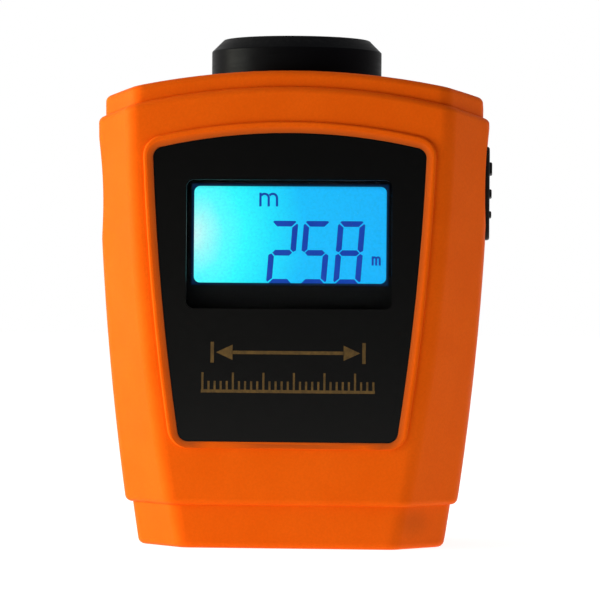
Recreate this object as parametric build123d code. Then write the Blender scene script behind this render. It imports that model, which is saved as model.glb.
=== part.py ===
from build123d import *
import math
import os

# Pocket distance meter: an upright casing with a display on its front, an ultrasonic horn on top,
# a laser pointer beside the horn and a 9 V battery behind a hinged door in the back.
# Millimetres. Z is up, the display faces -Y, and X is to the right of a person who looks at it.
# The origin is the middle of the flat base. The casing splits at Y = 0.

# ---- Driving dimensions -------------------------------------------------------------------------

# Casing. A bow is the circle through (half width, height) at three heights.
SIDE_BOW = ((27.6, 7.1), (31.0, 37.2), (32.6, 71.3))
FRONT_EDGE_BOW = ((19.4, 7.1), (24.0, 37.0), (26.4, 72.0))
FRONT_Y = -18.0
FRONT_SIDE_Y = -8.5
REAR_SIDE_Y = 11.5
REAR_Y = 18.0
REAR_EDGE_IN = 4.0
JACKET_LOW = 7.1
JACKET_TOP = 75.8
JACKET_ARCH = 112.0
BAND_STEP = 1.15
BAND_TOP = 78.5
BAND_ARCH = 128.0
WALL = 2.0
FRONT_WALL = 2.6
EDGE_ROUND = 1.1
FACET_ROUND = 3.0
SIDE_ROUND = 3.5

# Lip and groove along the seam between the two shells.
LIP_IN = 1.1
LIP_TALL = 1.0
LIP_GAP = 0.05

# Finger scoops: a deeper one in the left side, and a slight one round the button.
SCOOP_LONG = 18.0
LEFT_SCOOP_Z = 57.0
LEFT_SCOOP_DEEP = 0.65
RIGHT_SCOOP_Z = 59.0
RIGHT_SCOOP_DEEP = 0.38

# Face plate and the raised rim round it.
PLATE_BOW = ((17.8, 17.6), (20.6, 39.5), (22.4, 65.0))
PLATE_LOW = 17.6
PLATE_TOP = 68.1
PLATE_ARCH = 95.0
PLATE_THICK = 1.2
PLATE_CORNER = 1.7
PLATE_GAP = 0.05
PLATE_SUNK = 0.4
RIM_SIDE = 1.65
RIM_OVER = 1.9
RIM_UNDER = 1.15
RIM_HIGH = 0.6
RIM_ROUND = 0.35
RIM_SLOPE_WIDE = 1.0
RIM_SLOPE_DEEP = 0.3

# Display window, glass, light guide and holder.
WINDOW_WIDE = 33.6
WINDOW_TALL = 21.0
WINDOW_Z = 49.9
WINDOW_CORNER = 1.2
WINDOW_LEDGE = 1.3
WINDOW_FLANGE = 0.8
SIGHT_OUT = 0.3
GLASS_FRONT_Y = -14.65
GLASS_THICK = 1.1
GLASS_HALF = 18.0
GLASS_TOP = 60.9
GLASS_LOW = 36.5
REAR_GLASS_LOW = 39.7
GUIDE_HALF = 17.2
GUIDE_THICK = 2.2
HOLDER_HALF = 20.6
HOLDER_LOW = 34.9
HOLDER_TOP = 62.4
HOLDER_FRONT_Y = -15.3
HOLDER_SIGHT_HALF = 15.85
HOLDER_SIGHT_LOW = 43.6
HOLDER_SIGHT_TOP = 59.5
HOLDER_SIGHT_CORNER = 1.0
HOLDER_PEGS = ((19.4, 36.2), (19.4, 61.0))
LAMP_Z = 51.1

# Main board.
BOARD_FRONT_Y = -10.0
BOARD_THICK = 1.6
BOARD_LOW = 16.5
BOARD_TOP = 62.2
BOARD_HALF_LOW = 24.0
BOARD_HALF_TOP = 27.4

# Horn and transducer.
HORN_X = 0.0
HORN_R = 14.3
HORN_TOP = 84.5
HORN_LOW = 68.5
HORN_CHAMFER = 2.0
HORN_MOUTH_R = 11.5
HORN_THROAT_R = 7.8
HORN_THROAT_Z = 75.2
FLANGE_R = 15.0
FLANGE_LOW = 70.5
FLANGE_TOP = 72.5
COLLAR_R = 15.7
FIT_GAP = 0.05
CAN_R = 8.0
CAN_LOW = 64.6
CAN_TOP = 74.6
CAN_SKIN = 0.5
CAN_MOUTH_R = 6.6
PIN_OUT = 0.8
SLEEVE_THICK = 0.7
SLEEVE_LOW = 69.0
MESH_PITCH = 1.1
MESH_WIRE = 0.3

# Laser pointer, on the left of the horn.
LASER_X = -18.3
LASER_R = 3.0
LASER_LOW = 62.8
LASER_TOP = 75.0
LASER_HOLE_R = 2.5
LASER_BORE_R = 1.2
CRADLE_HALF = 3.7
CRADLE_LOW = 66.0

# Battery bay, battery and door.
BAY_HALF = 13.6
BAY_WALL = 1.4
BAY_LOW = 8.4
BAY_TOP = 60.4
BAY_FLOOR_Y = -2.5
BATTERY_HALF = 13.2
BATTERY_FRONT_Y = -1.5
BATTERY_BACK_Y = 15.9
BATTERY_LOW = 8.7
BATTERY_TALL = 46.4
BATTERY_CORNER = 1.8
TERMINAL_X = 6.35
STUD_R = 2.85
SOCKET_R = 3.95
CLIP_LOW = 2.7
CLIP_THICK = 2.4
DOOR_HALF = 15.5
DOOR_LOW = 8.5
DOOR_TOP = 61.0
DOOR_THICK = 1.4
DOOR_GAP = 0.12
DOOR_LOW_GAP = 0.5
PIVOT_Y = 17.0
PIVOT_Z = 9.4
PIN_R = 0.6
PIN_LONG = 0.7
LATCH_HALF = 4.0
LATCH_LOW = 54.0
LATCH_SLOT = 0.7

# Side button and its switch.
BUTTON_LOW = 51.2
BUTTON_TOP = 66.65
BUTTON_HALF_Y = 6.2
BUTTON_FACE_X = 32.65
BUTTON_GAP = 0.15
BUTTON_LIP = 0.7
BUTTON_LIP_TOP = 0.4
RIBS = ((63.1, 1.9, 0.42), (58.9, 1.3, 0.36), (55.4, 1.0, 0.32))
LIP_INNER_X = 28.5
LIP_OUTER_X = 29.6
SWITCH_Y = -5.4
SWITCH_Z = 58.6
SWITCH_HALF = 3.0
SWITCH_LEFT = 23.2
SWITCH_RIGHT = 27.0
PLUNGER_IN = 25.6
PLUNGER_OUT = 28.0
PLUNGER_R = 1.0

# Screws: (x, z), with one of each on the left and on the right.
CASING_SCREWS = ((25.6, 69.5), (20.5, 12.6))
CASING_SCREW_R = 1.3
CASING_HEAD_R = 2.2
CASING_SEAT_Y = 5.0
CASING_TIP_Y = -8.0
FRONT_BOSS_R = 2.8
REAR_BOSS_R = 3.0
BOARD_SCREWS = ((23.6, 47.0), (20.6, 21.5))
BOARD_SCREW_R = 0.95
BOARD_HEAD_R = 1.9
BOARD_TIP_Y = -14.0
POST_R = 2.2
THREAD_GAP = 0.02

LEAD_R = 0.6
FINE_LEAD_R = 0.45
FAR = 100.0

# ---- Places worked out from the dimensions ------------------------------------------------------

RIM_Y = FRONT_Y - RIM_HIGH
PLATE_FRONT_Y = RIM_Y + PLATE_SUNK
PLATE_BACK_Y = PLATE_FRONT_Y + PLATE_THICK
FLANGE_BACK_Y = PLATE_BACK_Y + WINDOW_FLANGE
BOARD_BACK_Y = BOARD_FRONT_Y + BOARD_THICK
REAR_GLASS_Y = GLASS_FRONT_Y + GLASS_THICK + 0.02
GUIDE_FRONT_Y = REAR_GLASS_Y + GLASS_THICK + 0.03
BATTERY_TOP = BATTERY_LOW + BATTERY_TALL
BATTERY_MID_Y = (BATTERY_FRONT_Y + BATTERY_BACK_Y) / 2
DOOR_IN_Y = REAR_Y - DOOR_THICK
SIDES = (1, -1)


# ---- Helpers ------------------------------------------------------------------------------------

def bow(points):
    """The half width at height z, on the circle through three (half width, height) points."""
    (x1, z1), (x2, z2), (x3, z3) = points
    a = x1 * (z2 - z3) - z1 * (x2 - x3) + x2 * z3 - x3 * z2
    s1, s2, s3 = x1**2 + z1**2, x2**2 + z2**2, x3**2 + z3**2
    cx = (s1 * (z2 - z3) + s2 * (z3 - z1) + s3 * (z1 - z2)) / (2 * a)
    cz = (s1 * (x3 - x2) + s2 * (x1 - x3) + s3 * (x2 - x1)) / (2 * a)
    r = math.hypot(x1 - cx, z1 - cz)
    return lambda z: cx + math.sqrt(r**2 - (z - cz) ** 2)


side_x = bow(SIDE_BOW)
front_edge_x = bow(FRONT_EDGE_BOW)
plate_x = bow(PLATE_BOW)


def rear_edge_x(z):
    return side_x(z) - REAR_EDGE_IN


def upright(y):
    """The plane at depth y, seen from the front, with local X to the right and local Y up."""
    return Plane(origin=(0, y, 0), x_dir=(1, 0, 0), z_dir=(0, -1, 0))


def slab(x0, x1, y0, y1, z0, z1):
    """A box between two corners."""
    centre = ((x0 + x1) / 2, (y0 + y1) / 2, (z0 + z1) / 2)
    return Pos(*centre) * Box(x1 - x0, y1 - y0, z1 - z0)


def rounded_slab(x0, x1, y0, y1, z0, z1, corner):
    """A box whose four edges along Y are rounded."""
    face = Pos((x0 + x1) / 2, (z0 + z1) / 2) * RectangleRounded(x1 - x0, z1 - z0, corner)
    return extrude(upright(y0) * face, amount=-(y1 - y0))


def rod_x(y, z, x0, x1, r):
    """A cylinder that lies along X."""
    return Pos((x0 + x1) / 2, y, z) * Rot(0, 90, 0) * Cylinder(r, x1 - x0)


def rod_y(x, z, y0, y1, r):
    """A cylinder that lies along Y."""
    return Pos(x, (y0 + y1) / 2, z) * Rot(90, 0, 0) * Cylinder(r, y1 - y0)


def rod_z(x, y, z0, z1, r):
    """A cylinder that stands along Z."""
    return Pos(x, y, (z0 + z1) / 2) * Cylinder(r, z1 - z0)


def mirrored(places):
    """Each (x, z) on the right, and its mirror image on the left."""
    return [(sign * x, z) for x, z in places for sign in SIDES]


def arched_outline(y, half_width, low, top, arch, inset):
    """A face at depth y with a flat bottom, bowed sides and an arched top."""
    r_top = arch - inset
    z_corner = top
    for _ in range(8):
        z_corner = top - r_top + math.sqrt(r_top**2 - (half_width(z_corner) - inset) ** 2)
    z_mid = (low + z_corner) / 2
    x_low, x_mid, x_corner = (half_width(z) - inset for z in (low, z_mid, z_corner))
    right = ThreePointArc((x_low, low), (x_mid, z_mid), (x_corner, z_corner))
    over = ThreePointArc((x_corner, z_corner), (0, top), (-x_corner, z_corner))
    left = ThreePointArc((-x_corner, z_corner), (-x_mid, z_mid), (-x_low, low))
    base = Line((-x_low, low), (x_low, low))
    return upright(y) * make_face([base, right, over, left])


# ---- Casing -------------------------------------------------------------------------------------

def facet_cut(edge_x, y_side, y_edge, inset, sign):
    """What lies outside the slanting facet between a side and the front or the back."""
    heights = (-8.0, 39.0, 86.0)
    lean = math.hypot(side_x(37) - edge_x(37), y_edge - y_side) / abs(y_edge - y_side)
    reach = math.copysign(5.0, y_edge - y_side)
    sections = []
    for y in (y_side - reach, y_edge + reach):
        share = (y - y_edge) / (y_side - y_edge)
        xs = [edge_x(z) + (side_x(z) - edge_x(z)) * share - inset * lean for z in heights]
        curve = ThreePointArc(*((sign * x, z) for x, z in zip(xs, heights)))
        low, high = heights[0], heights[-1]
        far = Polyline((sign * xs[-1], high), (sign * FAR, high), (sign * FAR, low), (sign * xs[0], low))
        sections.append(upright(y) * make_face([curve] + list(far.edges())))
    return loft(sections, ruled=True)


def layer(low, top, arch, inset, front_inset, rounded):
    """One layer of the casing: an arched block with a slanting facet at each long edge."""
    y0 = FRONT_Y + front_inset
    y1 = REAR_Y - inset
    block = extrude(arched_outline(y0, side_x, low, top, arch, inset), amount=-(y1 - y0))
    for sign in SIDES:
        block -= facet_cut(front_edge_x, FRONT_SIDE_Y, FRONT_Y, inset, sign)
        block -= facet_cut(rear_edge_x, REAR_SIDE_Y, REAR_Y, inset, sign)
    if not rounded:
        return block
    long_edges = block.edges().filter_by(lambda e: e.bounding_box().size.Z > 50)
    block = fillet([e for e in long_edges if abs(e.center().Y) > 15], FACET_ROUND)
    side_edges = [
        e for e in block.edges()
        if e.bounding_box().size.Z > 50
        and min(abs(e.center().Y - y) for y in (FRONT_SIDE_Y, REAR_SIDE_Y)) < 1.6
    ]
    block = fillet(side_edges, SIDE_ROUND)
    base = block.faces().sort_by(Axis.Z)[0]
    crown = block.faces().sort_by(Axis.Z)[-1]
    return fillet(base.edges() + crown.edges(), EDGE_ROUND)


def casing_form(inset, rounded=False):
    """The stepped outer form: a jacket round the middle of a slightly smaller, taller block."""
    front = inset * FRONT_WALL / WALL
    jacket = layer(JACKET_LOW + inset, JACKET_TOP - inset, JACKET_ARCH, inset, front, rounded)
    step = inset + BAND_STEP
    block = layer(inset, BAND_TOP - inset, BAND_ARCH, step, front + BAND_STEP, rounded)
    return jacket + block


def finger_scoop(sign, z, deep):
    """A wide shallow cylinder that hollows one side of the casing for a finger."""
    r = ((SCOOP_LONG / 2) ** 2 + deep**2) / (2 * deep)
    x = side_x(z) + r - deep
    return rod_y(sign * x, z, -FAR, FAR, r)


def horn_seat():
    """A collar that hangs from the top and closes round the horn's flange."""
    return rod_z(HORN_X, 0, HORN_LOW, BAND_TOP + 1, COLLAR_R)


def horn_room():
    """The bore for the horn, with a groove for its flange."""
    bore = rod_z(HORN_X, 0, HORN_LOW - 5, BAND_TOP + 5, HORN_R + FIT_GAP)
    groove = rod_z(HORN_X, 0, FLANGE_LOW - FIT_GAP, FLANGE_TOP + FIT_GAP, FLANGE_R + FIT_GAP)
    return bore + groove


def laser_seat():
    """A block under the top that holds the pointer module."""
    x0, x1 = LASER_X - CRADLE_HALF, LASER_X + CRADLE_HALF
    return slab(x0, x1, -CRADLE_HALF, CRADLE_HALF, CRADLE_LOW, BAND_TOP)


def laser_room():
    """The bore for the pointer module and the stepped hole for its window."""
    bore = rod_z(LASER_X, 0, LASER_LOW - 2, LASER_TOP + FIT_GAP, LASER_R + FIT_GAP)
    sight = rod_z(LASER_X, 0, LASER_TOP, BAND_TOP, LASER_BORE_R + 0.6)
    seat = rod_z(LASER_X, 0, LASER_TOP + 0.6, BAND_TOP + 1, LASER_HOLE_R)
    return bore + sight + seat


def button_room():
    """The side opening that the button moves in."""
    y = BUTTON_HALF_Y + BUTTON_GAP
    z0, z1 = BUTTON_LOW - BUTTON_GAP, BUTTON_TOP + BUTTON_GAP
    corner = 1.5 + BUTTON_GAP
    face = Plane.YZ.offset(LIP_OUTER_X - 1) * Pos(0, (z0 + z1) / 2) * RectangleRounded(2 * y, z1 - z0, corner)
    return extrude(face, amount=8)


def lip_ring(inset_out, inset_in, tall):
    """A strip along the inside of the wall, just in front of the seam."""
    strip = slab(-FAR, FAR, -tall, 0, -1, FAR)
    return (casing_form(inset_out) & strip) - casing_form(inset_in)


outer = casing_form(0, rounded=True)
outer -= finger_scoop(-1, LEFT_SCOOP_Z, LEFT_SCOOP_DEEP)
outer -= finger_scoop(1, RIGHT_SCOOP_Z, RIGHT_SCOOP_DEEP)
cavity = casing_form(WALL)
hollow = outer - cavity
seats = (horn_seat() + laser_seat()) & outer
rooms = horn_room() + laser_room() + button_room()
front_half = slab(-FAR, FAR, -FAR, 0, -1, FAR)
rear_half = slab(-FAR, FAR, 0, FAR, -1, FAR)


def rim():
    """The raised rounded frame round the face plate."""
    low, top = PLATE_LOW - RIM_UNDER, PLATE_TOP + RIM_OVER
    face = arched_outline(RIM_Y, plate_x, low, top, PLATE_ARCH, -RIM_SIDE)
    block = extrude(face, amount=-(FRONT_Y + 0.8 - RIM_Y))
    block = fillet(block.edges().filter_by(Axis.Y), PLATE_CORNER + RIM_SIDE)
    block = fillet(block.faces().sort_by(Axis.Y)[0].edges(), RIM_ROUND)
    block -= plate_blank(PLATE_GAP, RIM_Y - 1, FRONT_Y + 1)
    front = block.faces().sort_by(Axis.Y)[0]
    inner = front.inner_wires()[0].edges()
    return chamfer(inner, RIM_SLOPE_WIDE, RIM_SLOPE_DEEP, reference=front)


def plate_blank(gap, y0, y1):
    """The face plate's outline with rounded corners, grown by a gap."""
    face = arched_outline(y0, plate_x, PLATE_LOW - gap, PLATE_TOP + gap, PLATE_ARCH, -gap)
    block = extrude(face, amount=-(y1 - y0))
    return fillet(block.edges().filter_by(Axis.Y), PLATE_CORNER + gap)


def window_blank(grow, y0, y1):
    """The display window's outline, grown or shrunk on every side."""
    half = WINDOW_WIDE / 2 + grow
    z0 = WINDOW_Z - WINDOW_TALL / 2 - grow
    z1 = WINDOW_Z + WINDOW_TALL / 2 + grow
    return rounded_slab(-half, half, y0, y1, z0, z1, WINDOW_CORNER)


def front_shell():
    shell = (hollow + seats) & front_half
    shell += rim()
    for x, z in mirrored(CASING_SCREWS):
        shell += rod_y(x, z, FRONT_Y + 1, 0, FRONT_BOSS_R) & outer
    for x, z in mirrored(BOARD_SCREWS):
        shell += rod_y(x, z, FRONT_Y + 1, BOARD_FRONT_Y, POST_R) & outer
    for x, z in mirrored(CASING_SCREWS):
        shell -= rod_y(x, z, CASING_TIP_Y - 1, 0, CASING_SCREW_R + THREAD_GAP)
    for x, z in mirrored(BOARD_SCREWS):
        shell -= rod_y(x, z, BOARD_TIP_Y - 0.5, BOARD_FRONT_Y, BOARD_SCREW_R + THREAD_GAP)
    shell -= plate_blank(PLATE_GAP, RIM_Y - 1, PLATE_BACK_Y)
    shell -= window_blank(WINDOW_LEDGE + PLATE_GAP, PLATE_BACK_Y - 0.1, FLANGE_BACK_Y)
    shell -= window_blank(SIGHT_OUT, FLANGE_BACK_Y - 0.1, FRONT_Y + FRONT_WALL + 1)
    shell -= rooms
    return shell - lip_ring(LIP_IN - LIP_GAP, WALL + 1.2, LIP_TALL + LIP_GAP)


def bay_block():
    """The battery box inside the back, before it is hollowed."""
    half = BAY_HALF + BAY_WALL
    return slab(-half, half, BAY_FLOOR_Y - BAY_WALL, DOOR_IN_Y, BAY_LOW - BAY_WALL, BAY_TOP + BAY_WALL)


def bay_room():
    """The battery's space, the door's recess and swing, and the slot that lets the leads out."""
    space = slab(-BAY_HALF, BAY_HALF, BAY_FLOOR_Y, FAR, BAY_LOW, BAY_TOP)
    half = DOOR_HALF + DOOR_GAP
    recess = slab(-half, half, DOOR_IN_Y, FAR, DOOR_LOW - DOOR_LOW_GAP, DOOR_TOP + DOOR_GAP)
    sweep_room = slab(-half, half, BATTERY_BACK_Y, DOOR_IN_Y + 0.1, DOOR_LOW - DOOR_LOW_GAP, PIVOT_Z + 1.4)
    slot = slab(BAY_HALF - 1, BAY_HALF + BAY_WALL + 1, 3.6, 10.8, 56.2, 59.8)
    return space + recess + sweep_room + slot


def rear_shell():
    shell = (hollow + seats) & rear_half
    for x, z in mirrored(CASING_SCREWS):
        shell += rod_y(x, z, 0, REAR_Y - 1, REAR_BOSS_R) & outer
    shell += lip_ring(LIP_IN, WALL, LIP_TALL)
    shell += bay_block()
    shell -= bay_room()
    shell -= rounded_slab(-6, 6, REAR_Y - 0.8, REAR_Y + 1, DOOR_TOP - 2, DOOR_TOP + 2.4, 1.8)
    for x, z in mirrored(CASING_SCREWS):
        shell -= rod_y(x, z, CASING_SEAT_Y, FAR, CASING_HEAD_R + 0.2)
        shell -= rod_y(x, z, -LIP_TALL - 1, CASING_SEAT_Y, CASING_SCREW_R + 0.15)
        shell -= rod_y(x, z, -LIP_TALL - 1, 0, FRONT_BOSS_R + LIP_GAP)
    for sign in SIDES:
        x0, x1 = sorted((sign * (DOOR_HALF - 0.6), sign * (DOOR_HALF + PIN_LONG + 0.2)))
        shell -= rod_x(PIVOT_Y, PIVOT_Z, x0, x1, PIN_R + FIT_GAP)
    return shell - rooms


# ---- Face and display ---------------------------------------------------------------------------

def face_plate():
    plate = plate_blank(0, PLATE_FRONT_Y, PLATE_BACK_Y)
    return plate - window_blank(PLATE_GAP, PLATE_FRONT_Y - 1, PLATE_BACK_Y + 1)


def display_window():
    pane = window_blank(0, PLATE_FRONT_Y + 0.05, PLATE_BACK_Y + 0.1)
    return pane + window_blank(WINDOW_LEDGE, PLATE_BACK_Y + 0.02, FLANGE_BACK_Y - 0.02)


def lcd_glass():
    front = slab(-GLASS_HALF, GLASS_HALF, GLASS_FRONT_Y, GLASS_FRONT_Y + GLASS_THICK, GLASS_LOW, GLASS_TOP)
    rear = slab(-GLASS_HALF, GLASS_HALF, REAR_GLASS_Y, REAR_GLASS_Y + GLASS_THICK, REAR_GLASS_LOW, GLASS_TOP)
    return Compound([front, rear])


def light_guide():
    guide = slab(-GUIDE_HALF, GUIDE_HALF, GUIDE_FRONT_Y, GUIDE_FRONT_Y + GUIDE_THICK, 41.0, 60.5)
    return chamfer(guide.edges().filter_by(Axis.Z).sort_by(Axis.Y)[-2:], 0.5)


def backlight_lamp():
    body = slab(-19.2, -17.7, GUIDE_FRONT_Y + 0.1, BOARD_FRONT_Y, LAMP_Z - 2.1, LAMP_Z + 2.1)
    dome = slab(-17.7, -17.3, GUIDE_FRONT_Y + 0.4, BOARD_FRONT_Y - 0.5, LAMP_Z - 1.5, LAMP_Z + 1.5)
    return body + dome


def lcd_holder():
    back = BOARD_FRONT_Y - 0.02
    block = rounded_slab(-HOLDER_HALF, HOLDER_HALF, HOLDER_FRONT_Y, back, HOLDER_LOW, HOLDER_TOP, 1.0)
    pocket = GLASS_HALF + 0.1
    block -= slab(-pocket, pocket, GLASS_FRONT_Y - 0.05, 0, GLASS_LOW - 0.1, GLASS_TOP + 0.1)
    block -= slab(-19.4, -pocket + 0.1, GUIDE_FRONT_Y - 0.1, 0, LAMP_Z - 2.3, LAMP_Z + 2.3)
    half = HOLDER_SIGHT_HALF
    block -= rounded_slab(
        -half, half, HOLDER_FRONT_Y - 1, 0, HOLDER_SIGHT_LOW, HOLDER_SIGHT_TOP, HOLDER_SIGHT_CORNER
    )
    for x, z in mirrored(HOLDER_PEGS):
        block += rod_y(x, z, back - 1, BOARD_BACK_Y + 0.5, 0.7)
    return block


def contact_strip():
    return slab(-16.5, 16.5, GLASS_FRONT_Y + GLASS_THICK, BOARD_FRONT_Y, GLASS_LOW + 0.5, REAR_GLASS_LOW - 0.4)


# ---- Board and what is on it --------------------------------------------------------------------

def main_board():
    y = BOARD_FRONT_Y
    outline = Polyline(
        (-BOARD_HALF_LOW, BOARD_LOW), (BOARD_HALF_LOW, BOARD_LOW),
        (BOARD_HALF_TOP, BOARD_TOP), (-BOARD_HALF_TOP, BOARD_TOP), close=True,
    )
    board = extrude(upright(y) * make_face(outline), amount=-BOARD_THICK)
    board = fillet(board.edges().filter_by(Axis.Y), 1.0)
    for x, z in mirrored(BOARD_SCREWS):
        board -= rod_y(x, z, y - 1, 0, BOARD_SCREW_R + 0.15)
    for x, z in mirrored(HOLDER_PEGS):
        board -= rod_y(x, z, y - 1, 0, 0.8)
    return board


def chip(x, z, wide, tall, thick, legs):
    """A moulded chip with a row of legs on its left and right, on the back of the board."""
    y0 = BOARD_BACK_Y
    body = slab(x - wide / 2, x + wide / 2, y0 + 0.1, y0 + thick, z - tall / 2, z + tall / 2)
    pitch = tall / legs
    for i in range(legs):
        leg_z = z - tall / 2 + pitch * (i + 0.5)
        span = wide / 2 + 0.9
        body += slab(x - span, x + span, y0, y0 + 0.35, leg_z - pitch / 5, leg_z + pitch / 5)
    return body


def board_chips():
    return Compound([
        chip(-5, 40, 10, 10, 1.6, 10),
        chip(8, 42, 4, 5, 1.5, 4),
        chip(8, 34, 4, 5, 1.5, 4),
        chip(-6, 26, 4, 5, 1.5, 4),
    ])


def board_capacitors():
    y0 = BOARD_BACK_Y
    cans = [rod_y(x, z, y0, y0 + 7, 2.5) for x, z in ((-19.8, 28.5), (20.0, 39.5), (18.7, 47.4))]
    cans = [fillet(can.faces().sort_by(Axis.Y)[-1].edges(), 0.4) for can in cans]
    blocks = [slab(x, x + 2, y0, y0 + 0.9, z, z + 1.25) for x in (-1, 4, 11) for z in (20, 23, 49, 52)]
    return Compound(cans + blocks)


def clock_crystal():
    can = slab(-1.5, 8.5, BOARD_BACK_Y + 0.3, BOARD_BACK_Y + 3.7, 26.2, 30.0)
    can = fillet(can.edges().filter_by(Axis.Z), 1.6)
    return can + slab(-1.9, 8.9, BOARD_BACK_Y, BOARD_BACK_Y + 0.5, 25.9, 30.3)


def pulse_transformer():
    x, z, y0 = 20.0, 30.5, BOARD_BACK_Y
    foot = slab(x - 3.6, x + 3.6, y0, y0 + 1.2, z - 3.6, z + 3.6)
    core = rod_y(x, z, y0 + 1.2, y0 + 7.6, 2.4)
    cap = rod_y(x, z, y0 + 6.6, y0 + 7.8, 3.5)
    coil = rod_y(x, z, y0 + 1.6, y0 + 6.6, 3.1)
    return foot + core + coil + cap


def buzzer():
    x, z, y0 = -19.2, 41.6, BOARD_BACK_Y
    body = fillet(rod_y(x, z, y0, y0 + 5.5, 4.1).faces().sort_by(Axis.Y)[-1].edges(), 0.4)
    return body - rod_y(x, z, y0 + 4, y0 + 6, 0.9)


# ---- Horn and transducer ------------------------------------------------------------------------

def horn():
    corner_z = HORN_TOP - HORN_CHAMFER
    rim_r = HORN_R - HORN_CHAMFER
    socket_r = CAN_R + SLEEVE_THICK + 0.02
    profile = Polyline(
        (socket_r, HORN_LOW), (HORN_R, HORN_LOW), (HORN_R, FLANGE_LOW), (FLANGE_R, FLANGE_LOW),
        (FLANGE_R, FLANGE_TOP), (HORN_R, FLANGE_TOP), (HORN_R, corner_z), (rim_r, HORN_TOP),
        (HORN_MOUTH_R, HORN_TOP), (HORN_THROAT_R, HORN_THROAT_Z), (HORN_THROAT_R, CAN_TOP + 0.1),
        (socket_r, CAN_TOP + 0.1), close=True,
    )
    ring = revolve(Plane.XZ * make_face(profile), Axis.Z, 360)
    soft = ring.edges().filter_by(GeomType.CIRCLE).filter_by(lambda e: e.center().Z > corner_z - 0.01)
    return Pos(HORN_X, 0, 0) * fillet(soft, 0.25)


def transducer_can():
    can = rod_z(HORN_X, 0, CAN_LOW, CAN_TOP, CAN_R)
    can = fillet(can.faces().sort_by(Axis.Z)[-1].edges(), 0.3)
    can -= rod_z(HORN_X, 0, CAN_LOW + 1.6, CAN_TOP - CAN_SKIN, CAN_R - CAN_SKIN)
    can -= rod_z(HORN_X, 0, CAN_TOP - 1, CAN_TOP + 1, CAN_MOUTH_R)
    for x in (-3.5, 3.5):
        can += rod_z(HORN_X + x, 0, CAN_LOW - PIN_OUT, CAN_LOW + 0.5, 0.5)
    return can


def transducer_mesh():
    """A disc of crossed wires under the can's rim."""
    top = CAN_TOP - CAN_SKIN - 0.02
    r = CAN_R - CAN_SKIN - 0.03
    ring = rod_z(0, 0, top - MESH_WIRE, top, r) - rod_z(0, 0, top - 1, top + 1, r - 0.6)
    count = int(r / MESH_PITCH)
    disc = rod_z(0, 0, top - MESH_WIRE, top, r - 0.3)
    for i in range(-count, count + 1):
        at, half = i * MESH_PITCH, MESH_WIRE / 2
        ring += slab(at - half, at + half, -r, r, top - MESH_WIRE, top) & disc
        ring += slab(-r, r, at - half, at + half, top - MESH_WIRE, top) & disc
    return Pos(HORN_X, 0, 0) * ring


def transducer_cone():
    """The light metal cone that radiates the sound, on its ceramic disc."""
    z = CAN_LOW + 1.62
    disc = rod_z(0, 0, z, z + 2.0, 5.0)
    profile = Polyline(
        (0, z + 2), (1.2, z + 2), (5.6, z + 6.2), (5.2, z + 6.2), (0.9, z + 2.4), (0, z + 2.4),
        close=True,
    )
    return Pos(HORN_X, 0, 0) * (disc + revolve(Plane.XZ * make_face(profile), Axis.Z, 360))


def transducer_sleeve():
    ring = rod_z(HORN_X, 0, SLEEVE_LOW, CAN_TOP - 0.1, CAN_R + SLEEVE_THICK)
    return ring - rod_z(HORN_X, 0, SLEEVE_LOW - 1, CAN_TOP + 1, CAN_R + 0.01)


# ---- Laser pointer ------------------------------------------------------------------------------

def laser_module():
    barrel = rod_z(LASER_X, 0, LASER_LOW, LASER_TOP, LASER_R)
    barrel = chamfer(barrel.faces().sort_by(Axis.Z)[-1].edges(), 0.3)
    barrel -= rod_z(LASER_X, 0, LASER_TOP - 3, LASER_TOP + 1, LASER_BORE_R)
    return barrel - rod_z(LASER_X, 0, LASER_LOW - 1, LASER_LOW + 2, LASER_R - 0.6)


def laser_window():
    low = LASER_TOP + 0.62
    disc = rod_z(LASER_X, 0, low, low + 0.9, LASER_HOLE_R - 0.03)
    return fillet(disc.faces().sort_by(Axis.Z)[-1].edges(), 0.15)


# ---- Battery, clip and door ---------------------------------------------------------------------

def battery_case():
    z_mid = (BATTERY_LOW + BATTERY_TOP) / 2
    deep = BATTERY_BACK_Y - BATTERY_FRONT_Y
    case = Pos(0, BATTERY_MID_Y, z_mid) * Box(2 * BATTERY_HALF, deep, BATTERY_TALL)
    case = fillet(case.edges().filter_by(Axis.Z), BATTERY_CORNER)
    return fillet(case.faces().sort_by(Axis.Z)[0].edges(), 0.4)


def tube_z(x, y, z0, z1, r_out, r_in):
    """A short standing tube with a closed bottom, as a snap socket has."""
    return rod_z(x, y, z0, z1, r_out) - rod_z(x, y, z0 + 0.3, z1 + 1, r_in)


def battery_terminals():
    y, z = BATTERY_MID_Y, BATTERY_TOP
    stud = rod_z(-TERMINAL_X, y, z, z + 2.2, STUD_R)
    stud = fillet(stud.faces().sort_by(Axis.Z)[-1].edges(), 0.4)
    socket = tube_z(TERMINAL_X, y, z, z + 2.2, SOCKET_R, STUD_R + 0.15)
    return Compound([stud, socket])


def battery_clip():
    """The plate that snaps on the battery, with the leads' exit at its right end."""
    y, z = BATTERY_MID_Y, BATTERY_TOP + CLIP_LOW
    plate = Pos(0, y, z + CLIP_THICK / 2) * Box(25.4, 12.8, CLIP_THICK)
    plate = fillet(plate.edges().filter_by(Axis.Z), 2.0)
    return fillet(plate.faces().sort_by(Axis.Z)[-1].edges(), 0.5)


def clip_contacts():
    y, z0, z1 = BATTERY_MID_Y, BATTERY_TOP + 0.4, BATTERY_TOP + CLIP_LOW
    socket = rod_z(-TERMINAL_X, y, z0, z1, SOCKET_R) - rod_z(-TERMINAL_X, y, z0 - 1, z1 - 0.3, STUD_R + 0.1)
    stud = rod_z(TERMINAL_X, y, z0, z1, STUD_R)
    return Compound([socket, stud])


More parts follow.
